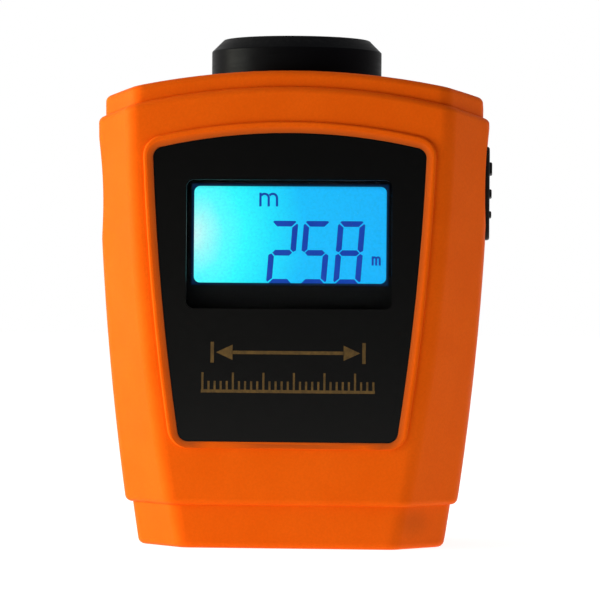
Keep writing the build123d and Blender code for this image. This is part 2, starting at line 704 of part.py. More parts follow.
def battery_pad():
    z0, z1 = BATTERY_LOW + 5, BATTERY_TOP - 5
    return rounded_slab(-10, 10, BAY_FLOOR_Y + 0.02, BATTERY_FRONT_Y - 0.03, z0, z1, 1.0)


def battery_door():
    door = rounded_slab(-DOOR_HALF, DOOR_HALF, DOOR_IN_Y, REAR_Y, DOOR_LOW, DOOR_TOP, 0.6)
    door = chamfer(door.faces().sort_by(Axis.Y)[-1].edges(), 0.25)
    for x in (-8.0, 8.0):
        door += slab(x - 0.6, x + 0.6, BATTERY_BACK_Y + 0.1, DOOR_IN_Y, 20, 50)
    for i in range(4):
        z = LATCH_LOW + 1.6 + 1.5 * i
        door -= slab(-LATCH_HALF + 0.8, LATCH_HALF - 0.8, REAR_Y - 0.35, REAR_Y + 1, z - 0.35, z + 0.35)
    for sign in SIDES:
        x0, x1 = sorted((sign * LATCH_HALF, sign * (LATCH_HALF + LATCH_SLOT)))
        door -= slab(x0, x1, DOOR_IN_Y - 1, REAR_Y + 1, LATCH_LOW, DOOR_TOP + 1)
        x0, x1 = sorted((sign * (DOOR_HALF - 0.3), sign * (DOOR_HALF + PIN_LONG)))
        door += rod_x(PIVOT_Y, PIVOT_Z, x0, x1, PIN_R)
    return door


# ---- Side button --------------------------------------------------------------------------------

def side_button():
    z_mid = (BUTTON_LOW + BUTTON_TOP) / 2
    tall = BUTTON_TOP - BUTTON_LOW
    face = Plane.YZ.offset(LIP_INNER_X) * Pos(0, z_mid) * RectangleRounded(2 * BUTTON_HALF_Y, tall, 1.5)
    cap = extrude(face, amount=BUTTON_FACE_X - LIP_INNER_X)
    cap = fillet(cap.faces().sort_by(Axis.X)[-1].edges(), 0.4)
    for z, tall, high in RIBS:
        x = BUTTON_FACE_X
        rib = slab(x - 1, x + high, -BUTTON_HALF_Y + 1.2, BUTTON_HALF_Y - 1.2, z - tall / 2, z + tall / 2)
        cap += fillet(rib.edges().filter_by(Axis.Y).sort_by(Axis.X)[-2:], 0.25)
    grow = BUTTON_LIP
    lip = slab(
        LIP_INNER_X, LIP_OUTER_X, -BUTTON_HALF_Y - grow, BUTTON_HALF_Y + grow,
        BUTTON_LOW - grow, BUTTON_TOP + BUTTON_LIP_TOP,
    )
    stem = slab(PLUNGER_OUT, LIP_INNER_X + 0.5, SWITCH_Y - 1.2, SWITCH_Y + 1.2, SWITCH_Z - 1.2, SWITCH_Z + 1.2)
    return cap + lip + stem


def switch_body():
    y, z, half = SWITCH_Y, SWITCH_Z, SWITCH_HALF
    body = slab(SWITCH_LEFT, SWITCH_RIGHT, y - half, y + half, z - half, z + half)
    body = chamfer(body.edges().filter_by(Axis.X), 0.4)
    return body - rod_x(y, z, SWITCH_LEFT + 0.8, SWITCH_RIGHT + 1, PLUNGER_R + FIT_GAP)


def switch_plunger():
    rod = rod_x(SWITCH_Y, SWITCH_Z, PLUNGER_IN, PLUNGER_OUT, PLUNGER_R)
    return chamfer(rod.faces().sort_by(Axis.X)[0].edges(), 0.2)


# ---- Screws and leads ---------------------------------------------------------------------------

def pan_screw(x, z, tip_y, seat_y, shank_r, head_r, head_high):
    """A pan head screw that enters from the back, with a cross recess."""
    head = rod_y(x, z, seat_y, seat_y + head_high, head_r)
    head = fillet(head.faces().sort_by(Axis.Y)[-1].edges(), head_high * 0.4)
    shank = rod_y(x, z, tip_y, seat_y, shank_r)
    shank = chamfer(shank.faces().sort_by(Axis.Y)[0].edges(), shank_r * 0.5)
    arm, half = head_r * 0.55, head_r * 0.12
    top = seat_y + head_high + 1
    cross = slab(x - arm, x + arm, seat_y + head_high * 0.45, top, z - half, z + half)
    cross += slab(x - half, x + half, seat_y + head_high * 0.45, top, z - arm, z + arm)
    return head + shank - cross


def casing_screws():
    return Compound([
        pan_screw(x, z, CASING_TIP_Y, CASING_SEAT_Y, CASING_SCREW_R, CASING_HEAD_R, 1.7)
        for x, z in mirrored(CASING_SCREWS)
    ])


def board_screws():
    return Compound([
        pan_screw(x, z, BOARD_TIP_Y, BOARD_BACK_Y, BOARD_SCREW_R, BOARD_HEAD_R, 1.3)
        for x, z in mirrored(BOARD_SCREWS)
    ])


def lead(points, radii, r):
    """An insulated wire along straight runs joined by arcs."""
    path = FilletPolyline(*points, radius=radii)
    start = Plane(path @ 0, z_dir=path % 0)
    return sweep(start * Circle(r), path=path)


def battery_lead(shift, end_z):
    """From the right end of the clip, out of the bay's slot and forward to the board."""
    y = BATTERY_MID_Y + shift
    x = 18.5 + shift
    z = BATTERY_TOP + CLIP_LOW + CLIP_THICK / 2
    points = [(12.75, y, z), (x, y, z), (x, -4.2, end_z), (x, BOARD_BACK_Y, end_z)]
    return lead(points, [2.8, 2.8], LEAD_R)


def transducer_leads():
    wires = []
    z = CAN_LOW - PIN_OUT
    for x in (HORN_X - 3.5, HORN_X + 3.5):
        points = [
            (x, 0, z), (x, 0, z - 1.1), (x, -5.4, z - 1.1),
            (x, -5.4, 58.6), (x, BOARD_BACK_Y, 58.6),
        ]
        wires.append(lead(points, [0.9, 2.0, 1.4], FINE_LEAD_R))
    return Compound(wires)


def laser_leads():
    wires = []
    for dx, end_z in ((-0.8, 56.6), (0.8, 55.2)):
        x = LASER_X + dx
        points = [(x, 0, LASER_LOW + 1.9), (x, 0, end_z), (x, BOARD_BACK_Y, end_z)]
        wires.append(lead(points, [3.6], FINE_LEAD_R))
    return Compound(wires)


# ---- Write every piece --------------------------------------------------------------------------

PIECES = {
    "front_shell": front_shell,
    "rear_shell": rear_shell,
    "face_plate": face_plate,
    "display_window": display_window,
    "lcd_glass": lcd_glass,
    "lcd_holder": lcd_holder,
    "light_guide": light_guide,
    "backlight_lamp": backlight_lamp,
    "contact_strip": contact_strip,
    "main_board": main_board,
    "board_chips": board_chips,
    "board_capacitors": board_capacitors,
    "clock_crystal": clock_crystal,
    "pulse_transformer": pulse_transformer,
    "buzzer": buzzer,
    "horn": horn,
    "transducer_can": transducer_can,
    "transducer_mesh": transducer_mesh,
    "transducer_cone": transducer_cone,
    "transducer_sleeve": transducer_sleeve,
    "transducer_leads": transducer_leads,
    "laser_module": laser_module,
    "laser_window": laser_window,
    "laser_leads": laser_leads,
    "battery_case": battery_case,
    "battery_terminals": battery_terminals,
    "battery_clip": battery_clip,
    "clip_contacts": clip_contacts,
    "battery_lead_red": lambda: battery_lead(-1.3, 56.0),
    "battery_lead_black": lambda: battery_lead(1.3, 53.8),
    "battery_pad": battery_pad,
    "battery_door": battery_door,
    "side_button": side_button,
    "switch_body": switch_body,
    "switch_plunger": switch_plunger,
    "casing_screws": casing_screws,
    "board_screws": board_screws,
}

os.makedirs("parts", exist_ok=True)
for name, make in PIECES.items():
    export_step(make(), f"parts/{name}.step")
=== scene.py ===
import math

import bmesh
import bpy
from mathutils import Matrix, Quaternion, Vector


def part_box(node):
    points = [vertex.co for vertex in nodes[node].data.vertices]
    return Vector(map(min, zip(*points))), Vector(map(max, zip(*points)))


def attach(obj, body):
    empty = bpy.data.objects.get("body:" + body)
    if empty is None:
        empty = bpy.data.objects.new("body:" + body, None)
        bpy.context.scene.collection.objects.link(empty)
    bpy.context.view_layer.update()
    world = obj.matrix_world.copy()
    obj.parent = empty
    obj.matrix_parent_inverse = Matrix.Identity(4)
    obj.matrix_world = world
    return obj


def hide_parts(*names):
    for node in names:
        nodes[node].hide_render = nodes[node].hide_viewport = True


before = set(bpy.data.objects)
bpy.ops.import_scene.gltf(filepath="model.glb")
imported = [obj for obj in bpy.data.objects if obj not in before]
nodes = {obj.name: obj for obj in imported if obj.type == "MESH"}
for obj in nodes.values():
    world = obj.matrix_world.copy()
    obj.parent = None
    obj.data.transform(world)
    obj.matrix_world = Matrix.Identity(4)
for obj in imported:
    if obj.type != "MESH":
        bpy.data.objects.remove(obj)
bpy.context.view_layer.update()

MM = 0.001
UM = 0.000001
scene = bpy.context.scene


# ---- Places read from the frame -----------------------------------------------------------------

plate_low, plate_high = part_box("face_plate")
window_low, window_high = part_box("display_window")
pad_low, pad_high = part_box("battery_pad")
battery_low, battery_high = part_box("battery_case")
coil_low, coil_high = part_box("pulse_transformer")
glass_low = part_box("lcd_glass")[0]
holder_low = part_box("lcd_holder")[0]
shell_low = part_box("front_shell")[0]
horn_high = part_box("horn")[1]

# The opening in the display's holder, which the lit glass shows through.
LIT_MIDDLE_Z = 51.55 * MM
LIT_HALF_X = 15.85 * MM
LIT_HALF_Z = 7.95 * MM


# ---- Node helpers -------------------------------------------------------------------------------

def new_material(name, base, rough, **sockets):
    """A Principled material. Returns the material, its node tree and its shader."""
    mat = bpy.data.materials.new(name)
    mat.use_nodes = True
    tree = mat.node_tree
    shader = tree.nodes["Principled BSDF"]
    shader.inputs["Base Color"].default_value = (*base, 1.0)
    shader.inputs["Roughness"].default_value = rough
    for label, value in sockets.items():
        shader.inputs[label.replace("_", " ")].default_value = value
    mat.diffuse_color = (*base, 1.0)
    return mat, tree, shader


def coords(tree):
    return tree.nodes.new("ShaderNodeTexCoord").outputs["Object"]


def axes(tree, vector):
    """The X, Y and Z of a vector, as outputs."""
    node = tree.nodes.new("ShaderNodeSeparateXYZ")
    tree.links.new(vector, node.inputs[0])
    return node.outputs


def noise(tree, vector, scale, detail=3.0, rough=0.5, stretch=None):
    """Noise whose scale is in features per metre. stretch squeezes the pattern along each axis."""
    if stretch:
        mapping = tree.nodes.new("ShaderNodeMapping")
        mapping.inputs["Scale"].default_value = stretch
        tree.links.new(vector, mapping.inputs["Vector"])
        vector = mapping.outputs["Vector"]
    node = tree.nodes.new("ShaderNodeTexNoise")
    node.inputs["Scale"].default_value = scale
    node.inputs["Detail"].default_value = detail
    node.inputs["Roughness"].default_value = rough
    tree.links.new(vector, node.inputs["Vector"])
    return node.outputs["Fac"]


def span(tree, value, low, high, out_low, out_high, smooth=False):
    """Maps value from low..high to out_low..out_high."""
    node = tree.nodes.new("ShaderNodeMapRange")
    node.interpolation_type = "SMOOTHSTEP" if smooth else "LINEAR"
    node.inputs["From Min"].default_value = low
    node.inputs["From Max"].default_value = high
    node.inputs["To Min"].default_value = out_low
    node.inputs["To Max"].default_value = out_high
    tree.links.new(value, node.inputs["Value"])
    return node.outputs["Result"]


def ramp(tree, value, stops):
    """A colour ramp through (position, (r, g, b)) stops."""
    node = tree.nodes.new("ShaderNodeValToRGB")
    elements = node.color_ramp.elements
    while len(elements) < len(stops):
        elements.new(0.5)
    for element, (at, colour) in zip(elements, stops):
        element.position = at
        element.color = (*colour, 1.0)
    tree.links.new(value, node.inputs["Fac"])
    return node.outputs["Color"]


def mix_colour(tree, factor, first, second, blend="MIX"):
    """Mixes two colours. Each is an output or an (r, g, b); factor is an output or a number."""
    node = tree.nodes.new("ShaderNodeMix")
    node.data_type = "RGBA"
    node.blend_type = blend
    pairs = ((node.inputs[0], factor), (node.inputs[6], first), (node.inputs[7], second))
    for socket, value in pairs:
        if isinstance(value, bpy.types.NodeSocket):
            tree.links.new(value, socket)
        elif isinstance(value, tuple):
            socket.default_value = (*value, 1.0)
        else:
            socket.default_value = value
    return node.outputs[2]


def math_node(tree, operation, first, second=0.0):
    node = tree.nodes.new("ShaderNodeMath")
    node.operation = operation
    for socket, value in zip(node.inputs, (first, second)):
        if isinstance(value, bpy.types.NodeSocket):
            tree.links.new(value, socket)
        else:
            socket.default_value = value
    return node.outputs[0]


def bump(tree, shader, height, distance, strength=1.0):
    """Adds a bump of that height in metres, after any bump the shader already has."""
    node = tree.nodes.new("ShaderNodeBump")
    node.inputs["Strength"].default_value = strength
    node.inputs["Distance"].default_value = distance
    tree.links.new(height, node.inputs["Height"])
    normal = shader.inputs["Normal"]
    if normal.is_linked:
        tree.links.new(normal.links[0].from_socket, node.inputs["Normal"])
    tree.links.new(node.outputs["Normal"], normal)


def distance_from(tree, vector, point, squash=(1, 1, 1)):
    """The distance in metres from a point, with each axis weighted."""
    shift = tree.nodes.new("ShaderNodeVectorMath")
    shift.operation = "SUBTRACT"
    shift.inputs[1].default_value = point
    tree.links.new(vector, shift.inputs[0])
    weigh = tree.nodes.new("ShaderNodeVectorMath")
    weigh.operation = "MULTIPLY"
    weigh.inputs[1].default_value = squash
    tree.links.new(shift.outputs[0], weigh.inputs[0])
    length = tree.nodes.new("ShaderNodeVectorMath")
    length.operation = "LENGTH"
    tree.links.new(weigh.outputs[0], length.inputs[0])
    return length.outputs["Value"]


def outside(tree, place, middle_x, middle_z, half_x, half_z):
    """How far a place is outside an upright rectangle, in metres. It is negative inside."""
    from_x = math_node(tree, "ABSOLUTE", math_node(tree, "SUBTRACT", place["X"], middle_x))
    from_z = math_node(tree, "ABSOLUTE", math_node(tree, "SUBTRACT", place["Z"], middle_z))
    over_x = math_node(tree, "SUBTRACT", from_x, half_x)
    over_z = math_node(tree, "SUBTRACT", from_z, half_z)
    return math_node(tree, "MAXIMUM", over_x, over_z)


# ---- Materials ----------------------------------------------------------------------------------
# Noise scales are features per metre, and bump heights are given in micrometres.

RIM_TURN = (-3.5 * MM, -1.2 * MM)
RIM_SLOPE_DEEP = 0.3 * MM
RIM_FOOT = (0.42 * MM, 0.5 * MM)
CREST_SHADE = 0.15
FOOT_SHADE = 0.85
WALL_SHADE_WIDE = (0.9 * MM, 1.1 * MM)
WALL_SHADE_DEEP = (2.4 * MM, 2.6 * MM)
SPOT_X = 21.3 * MM
SPOT_Z = 4.4 * MM
SPOT_R = (0.4 * MM, 4.2 * MM)


def rim_shade(tree, at, y):
    """Painted shade on the casing: most at the foot of the rim's inner slope, little at its crest.
    """
    from_middle = tree.nodes.new("ShaderNodeVectorMath")
    from_middle.operation = "SUBTRACT"
    from_middle.inputs[1].default_value = (plate_low + plate_high) / 2
    tree.links.new(at, from_middle.inputs[0])
    facing = tree.nodes.new("ShaderNodeVectorMath")
    facing.operation = "DOT_PRODUCT"
    tree.links.new(from_middle.outputs[0], facing.inputs[0])
    tree.links.new(tree.nodes.new("ShaderNodeTexCoord").outputs["Normal"], facing.inputs[1])
    inward = span(tree, facing.outputs["Value"], *RIM_TURN, 1.0, 0.0)
    down = span(tree, y, shell_low.y, shell_low.y + RIM_SLOPE_DEEP, CREST_SHADE, FOOT_SHADE)
    on_rim = span(tree, y, shell_low.y + RIM_FOOT[0], shell_low.y + RIM_FOOT[1], 1.0, 0.0)
    return math_node(tree, "MULTIPLY", math_node(tree, "MULTIPLY", inward, down), on_rim)


def window_wall_shade(tree, place):
    """1 on the walls of the window's opening, which are painted black as painted shade, and 0
    elsewhere.
    """
    middle = (window_low + window_high) / 2
    half = (window_high - window_low) / 2
    from_pane = outside(tree, place, middle.x, middle.z, half.x, half.z)
    around = span(tree, from_pane, *WALL_SHADE_WIDE, 1.0, 0.0)
    behind = span(
        tree, place["Y"], window_high.y + WALL_SHADE_DEEP[0], window_high.y + WALL_SHADE_DEEP[1], 1.0, 0.0
    )
    return math_node(tree, "MULTIPLY", around, behind)


def orange_plastic():
    """Satin moulded plastic, a little translucent, with fine spark texture and slight mottling.

    It is darkened by painted shade at the foot of the rim and made black by painted shade inside
    the window's opening. It is darker at one spot low on the base.
    """
    mat, tree, shader = new_material(
        "orange_plastic", (0.87, 0.112, 0.004), 0.52,
        Subsurface_Weight=0.1, Subsurface_Radius=(2.2 * MM, 0.6 * MM, 0.2 * MM),
        Subsurface_Scale=1.0, IOR=1.13, Specular_Tint=(1.0, 0.42, 0.06, 1.0),
    )
    deep, bright, speck = (0.86, 0.116, 0.0035), (0.90, 0.128, 0.0048), (0.75, 0.094, 0.003)
    rim_shade_colour, spot_colour, black = (0.38, 0.072, 0.014), (0.28, 0.055, 0.008), (0.006, 0.006, 0.006)
    at = coords(tree)
    place = axes(tree, at)
    mottle = span(tree, noise(tree, at, 140, 4), 0.3, 0.7, 0.0, 1.0)
    body = mix_colour(tree, mottle, deep, bright)
    grain = span(tree, noise(tree, at, 2600, 2), 0.35, 0.65, 0.0, 1.0)
    body = mix_colour(tree, math_node(tree, "MULTIPLY", grain, 0.3), body, speck)
    # Painted shade: the casing darkens down the rim's inner slope towards the face plate.
    body = mix_colour(tree, rim_shade(tree, at, place["Y"]), body, rim_shade_colour)
    # Darker at one spot low on the base.
    spot_at = Vector((SPOT_X, shell_low.y + 1.8 * MM, SPOT_Z))
    from_spot = distance_from(tree, at, spot_at, (1, 0.5, 1.1))
    body = mix_colour(tree, span(tree, from_spot, *SPOT_R, 0.30, 0.0, True), body, spot_colour)
    # Painted shade: the walls of the window's opening are painted black.
    body = mix_colour(tree, window_wall_shade(tree, place), body, black)
    tree.links.new(body, shader.inputs["Base Color"])
    patches = noise(tree, at, 90, 3)
    tree.links.new(span(tree, patches, 0.3, 0.7, 0.46, 0.56), shader.inputs["Roughness"])
    bump(tree, shader, noise(tree, at, 3600, 2), 8 * UM, 0.35)
    bump(tree, shader, noise(tree, at, 260, 2), 30 * UM, 0.25)
    return mat


def black_plate():
    """Glossy black printed plate with a faint dusty sheen, and painted light greying its foot."""
    mat, tree, shader = new_material(
        "black_plate", (0.006, 0.006, 0.0065), 0.3, Specular_IOR_Level=0.13
    )
    at = coords(tree)
    dust = noise(tree, at, 900, 4)
    tree.links.new(span(tree, dust, 0.35, 0.75, 0.28, 0.33), shader.inputs["Roughness"])
    # Painted light: the plate is a little greyer towards its foot, where light from below falls.
    fade = span(tree, axes(tree, at)["Z"], plate_low.z, plate_high.z, 0.0, 1.0)
    shade = ramp(tree, fade, [
        (0.0, (0.0062, 0.0062, 0.0064)), (0.35, (0.0052, 0.0052, 0.0054)),
        (1.0, (0.0036, 0.0036, 0.0039)),
    ])
    tree.links.new(shade, shader.inputs["Base Color"])
    bump(tree, shader, noise(tree, at, 2600, 2), 4 * UM, 0.2)
    return mat


def black_plastic(name="black_plastic", rough=0.5, shade=0.012):
    """Moulded black plastic with a fine texture."""
    tint = (shade, shade, shade * 1.05)
    mat, tree, shader = new_material(name, tint, rough, Specular_IOR_Level=0.4)
    at = coords(tree)
    gloss = span(tree, noise(tree, at, 200, 3), 0.3, 0.7, rough - 0.06, rough + 0.06)
    tree.links.new(gloss, shader.inputs["Roughness"])
    bump(tree, shader, noise(tree, at, 3200, 2), 10 * UM, 0.4)
    return mat


def horn_plastic():
    """Satin black plastic, faintly drawn round its axis, a little rubbed near its top edge."""
    mat, tree, shader = new_material(
        "horn_plastic", (0.006, 0.006, 0.007), 0.33,
        Specular_IOR_Level=0.032, Specular_Tint=(0.72, 0.8, 1.0, 1.0),
    )
    fresh, rubbed = (0.004, 0.004, 0.0048), (0.012, 0.012, 0.013)
    at = coords(tree)
    rings = noise(tree, at, 900, 3, 0.5, (0.15, 0.15, 3.0))
    tree.links.new(span(tree, rings, 0.3, 0.7, 0.28, 0.4), shader.inputs["Roughness"])
    high = axes(tree, at)["Z"]
    rub = span(tree, high, horn_high.z - 2.4 * MM, horn_high.z - 0.2 * MM, 0.0, 1.0, True)
    speck = span(tree, noise(tree, at, 1500, 4), 0.45, 0.7, 0.2, 1.0)
    worn = mix_colour(tree, math_node(tree, "MULTIPLY", rub, speck), fresh, rubbed)
    tree.links.new(worn, shader.inputs["Base Color"])
    bump(tree, shader, noise(tree, at, 3000, 2), 6 * UM, 0.4)
    return mat


def rubber(name, shade, rough):
    """Matt rubber with a fine grain and a dusty bloom."""
    clean, dusty = (shade,) * 3, (shade * 2.4,) * 3
    mat, tree, shader = new_material(name, clean, rough, Specular_IOR_Level=0.22)
    at = coords(tree)
    bloom = span(tree, noise(tree, at, 500, 4), 0.4, 0.75, 0.0, 0.5)
    tree.links.new(mix_colour(tree, bloom, clean, dusty), shader.inputs["Base Color"])
    bump(tree, shader, noise(tree, at, 2400, 3), 18 * UM, 0.5)
    return mat


def clear_pane():
    """Clear acrylic with a hint of dust and fine handling scratches."""
    mat, tree, shader = new_material(
        "clear_pane", (0.93, 0.96, 1.0), 0.02,
        Transmission_Weight=1.0, IOR=1.06, Specular_IOR_Level=0.15,
    )
    haze = noise(tree, coords(tree), 400, 5, 0.6, (1, 1, 0.35))
    tree.links.new(span(tree, haze, 0.5, 0.8, 0.01, 0.06), shader.inputs["Roughness"])
    return mat


LAMP_IN = 2.2 * MM
LAMP_Z = 51.6 * MM
LAMP_REACH = 33 * MM
TOP_DIM = (58.8 * MM, 60.1 * MM)
FOOT_DIM = (43.3 * MM, 43.9 * MM)


def lit_glass():
    """Display glass, lit from a lamp at its left edge: nearly white there, cyan, then blue."""
    mat, tree, shader = new_material("lit_glass", (0.01, 0.04, 0.06), 0.25)
    at = coords(tree)
    lamp = Vector((glass_low.x + LAMP_IN, glass_low.y, LAMP_Z))
    reach = distance_from(tree, at, lamp, (1.0, 0.0, 0.72))
    stray = span(tree, noise(tree, at, 300, 3), 0.0, 1.0, -0.6 * MM, 0.6 * MM)
    fall = span(tree, math_node(tree, "ADD", reach, stray), 0.0, LAMP_REACH, 0.0, 1.0)
    colour = ramp(tree, fall, [
        (0.0, (0.60, 1.0, 0.95)), (0.07, (0.32, 1.0, 0.96)), (0.15, (0.10, 1.0, 1.0)),
        (0.25, (0.034, 0.96, 0.98)), (0.38, (0.015, 0.76, 0.96)), (0.55, (0.009, 0.52, 0.95)),
        (1.0, (0.009, 0.45, 0.93)),
    ])
    high = axes(tree, at)["Z"]
    top = span(tree, high, *TOP_DIM, 1.0, 0.62, True)
    foot = span(tree, high, *FOOT_DIM, 0.8, 1.0, True)
    grain = span(tree, noise(tree, at, 2400, 2), 0.3, 0.7, 0.93, 1.05)
    strength = math_node(tree, "MULTIPLY", math_node(tree, "MULTIPLY", top, foot), grain)
    tree.links.new(colour, shader.inputs["Emission Color"])
    tree.links.new(strength, shader.inputs["Emission Strength"])
    return mat


GLOW_WIDE = 0.55 * MM
GLOW_DEEP = 1.0 * MM


def holder_plastic():
    """Black plastic, with a faint blue glow where the lit glass spills over its edge."""
    mat = black_plastic("holder_plastic", 0.6, 0.005)
    tree = mat.node_tree
    shader = tree.nodes["Principled BSDF"]
    place = axes(tree, coords(tree))
    past_edge = outside(tree, place, 0.0, LIT_MIDDLE_Z, LIT_HALF_X, LIT_HALF_Z)
    glow = span(tree, past_edge, 0.0, GLOW_WIDE, 1.0, 0.0, True)
    near = span(tree, place["Y"], holder_low.y, holder_low.y + GLOW_DEEP, 1.0, 0.0)
    shader.inputs["Specular IOR Level"].default_value = 0.1
    shader.inputs["Emission Color"].default_value = (0.0015, 0.016, 0.055, 1)
    tree.links.new(math_node(tree, "MULTIPLY", glow, near), shader.inputs["Emission Strength"])
    return mat


def segment_ink():
    """The dark segments of the display, lit through a little."""
    mat, tree, shader = new_material("segment_ink", (0.004, 0.01, 0.05), 0.4, Emission_Strength=1.0)
    tone = span(tree, noise(tree, coords(tree), 350, 3), 0.3, 0.7, 0.0, 1.0)
    shade = ramp(tree, tone, [(0.0, (0.001, 0.034, 0.31)), (1.0, (0.003, 0.052, 0.40))])
    tree.links.new(shade, shader.inputs["Emission Color"])
    return mat


def gold_print():
    """Thin dull gold print, a little uneven."""
    mat, tree, shader = new_material("gold_print", (0.16, 0.085, 0.015), 0.5, Metallic=0.35)
    tone = span(tree, noise(tree, coords(tree), 1400, 4), 0.3, 0.75, 0.0, 1.0)
    shade = mix_colour(tree, tone, (0.075, 0.041, 0.008), (0.15, 0.082, 0.016))
    tree.links.new(shade, shader.inputs["Base Color"])
    return mat


def metal(name, tint, rough, stretch=(1, 1, 1), scale=1500):
    """Bare or plated metal with fine streaks and dull patches."""
    mat, tree, shader = new_material(name, tint, rough, Metallic=1.0)
    at = coords(tree)
    streak = noise(tree, at, scale, 4, 0.6, stretch)
    gloss = span(tree, streak, 0.3, 0.7, rough * 0.7, rough * 1.5)
    tree.links.new(gloss, shader.inputs["Roughness"])
    dull = span(tree, noise(tree, at, 300, 3), 0.35, 0.7, 0.0, 0.5)
    darker = tuple(c * 0.6 for c in tint)
    tree.links.new(mix_colour(tree, dull, tint, darker), shader.inputs["Base Color"])
    bump(tree, shader, streak, 6 * UM, 0.4)
    return mat


def board_green():
    """Green solder mask over faint copper tracks."""
    mat, tree, shader = new_material("board_green", (0.02, 0.16, 0.05), 0.32, Coat_Weight=0.3)
    at = coords(tree)
    tracks = tree.nodes.new("ShaderNodeTexBrick")
    tracks.inputs["Scale"].default_value = 260
    tracks.inputs["Mortar Size"].default_value = 0.06
    tracks.inputs["Color1"].default_value = (0.016, 0.13, 0.04, 1)
    tracks.inputs["Color2"].default_value = (0.022, 0.17, 0.055, 1)
    tracks.inputs["Mortar"].default_value = (0.05, 0.28, 0.09, 1)
    turn = tree.nodes.new("ShaderNodeMapping")
    turn.inputs["Rotation"].default_value = (math.radians(90), 0, 0)
    tree.links.new(at, turn.inputs["Vector"])
    tree.links.new(turn.outputs["Vector"], tracks.inputs["Vector"])
    tree.links.new(tracks.outputs["Color"], shader.inputs["Base Color"])
    bump(tree, shader, tracks.outputs["Fac"], 20 * UM, 0.6)
    return mat


def tinted_plastic(name, tint, rough, grain=2500):
    """Small moulded parts: an even tint with slight mottling and a fine grain."""
    mat, tree, shader = new_material(name, tint, rough)
    at = coords(tree)
    tone = span(tree, noise(tree, at, 500, 3), 0.3, 0.7, 0.0, 1.0)
    darker = tuple(c * 0.82 for c in tint)
    tree.links.new(mix_colour(tree, tone, tint, darker), shader.inputs["Base Color"])
    bump(tree, shader, noise(tree, at, grain, 2), 10 * UM, 0.4)
    return mat


def battery_jacket():
    """A plain metal jacket in two tones: dark below, pale near the terminals, bare at both rims."""
    mat, tree, shader = new_material("battery_jacket", (0.03, 0.035, 0.045), 0.3, Metallic=0.6)
    at = coords(tree)
    along = span(tree, axes(tree, at)["Z"], battery_low.z, battery_high.z, 0.0, 1.0)
    bands = ramp(tree, along, [
        (0.0, (0.42, 0.42, 0.43)), (0.03, (0.05, 0.085, 0.11)), (0.62, (0.055, 0.09, 0.115)),
        (0.625, (0.36, 0.38, 0.39)), (0.96, (0.33, 0.35, 0.36)), (0.97, (0.45, 0.45, 0.46)),
    ])
    scuff = span(tree, noise(tree, at, 700, 5, 0.6, (1, 1, 0.3)), 0.55, 0.8, 0.0, 0.35)
    worn = mix_colour(tree, scuff, bands, (0.25, 0.25, 0.25))
    tree.links.new(worn, shader.inputs["Base Color"])
    gloss = span(tree, noise(tree, at, 250, 3), 0.3, 0.7, 0.24, 0.4)
    tree.links.new(gloss, shader.inputs["Roughness"])
    return mat


def copper_and_ferrite():
    """A wound coil between dark ferrite ends."""
    mat, tree, shader = new_material("copper_and_ferrite", (0.04, 0.035, 0.035), 0.45, Metallic=0.2)
    at = coords(tree)
    depth = span(tree, axes(tree, at)["Y"], coil_low.y, coil_high.y, 0.0, 1.0)
    shade = ramp(tree, depth, [
        (0.0, (0.02, 0.02, 0.022)), (0.19, (0.02, 0.02, 0.022)), (0.20, (0.42, 0.15, 0.05)),
        (0.80, (0.42, 0.15, 0.05)), (0.81, (0.035, 0.033, 0.033)), (1.0, (0.045, 0.042, 0.042)),
    ])
    tree.links.new(shade, shader.inputs["Base Color"])
    wave = tree.nodes.new("ShaderNodeTexWave")
    wave.bands_direction = "Y"
    wave.inputs["Scale"].default_value = 1400
    tree.links.new(at, wave.inputs["Vector"])
    bump(tree, shader, wave.outputs["Fac"], 50 * UM, 0.5)
    return mat


def foam():
    """Dark closed cell foam with open pores on its cut faces."""
    mat, tree, shader = new_material("foam", (0.035, 0.035, 0.038), 0.9, Sheen_Weight=0.3)
    at = coords(tree)
    cells = tree.nodes.new("ShaderNodeTexVoronoi")
    cells.inputs["Scale"].default_value = 1500
    tree.links.new(at, cells.inputs["Vector"])
    # Painted shade: the pores are darker at their middles, in their hollows.
    depth = span(tree, cells.outputs["Distance"], 0.0, 0.7, 0.0, 1.0)
    shade = mix_colour(tree, depth, (0.02, 0.02, 0.022), (0.05, 0.05, 0.054))
    tree.links.new(shade, shader.inputs["Base Color"])
    bump(tree, shader, cells.outputs["Distance"], 120 * UM, 0.8)
    return mat


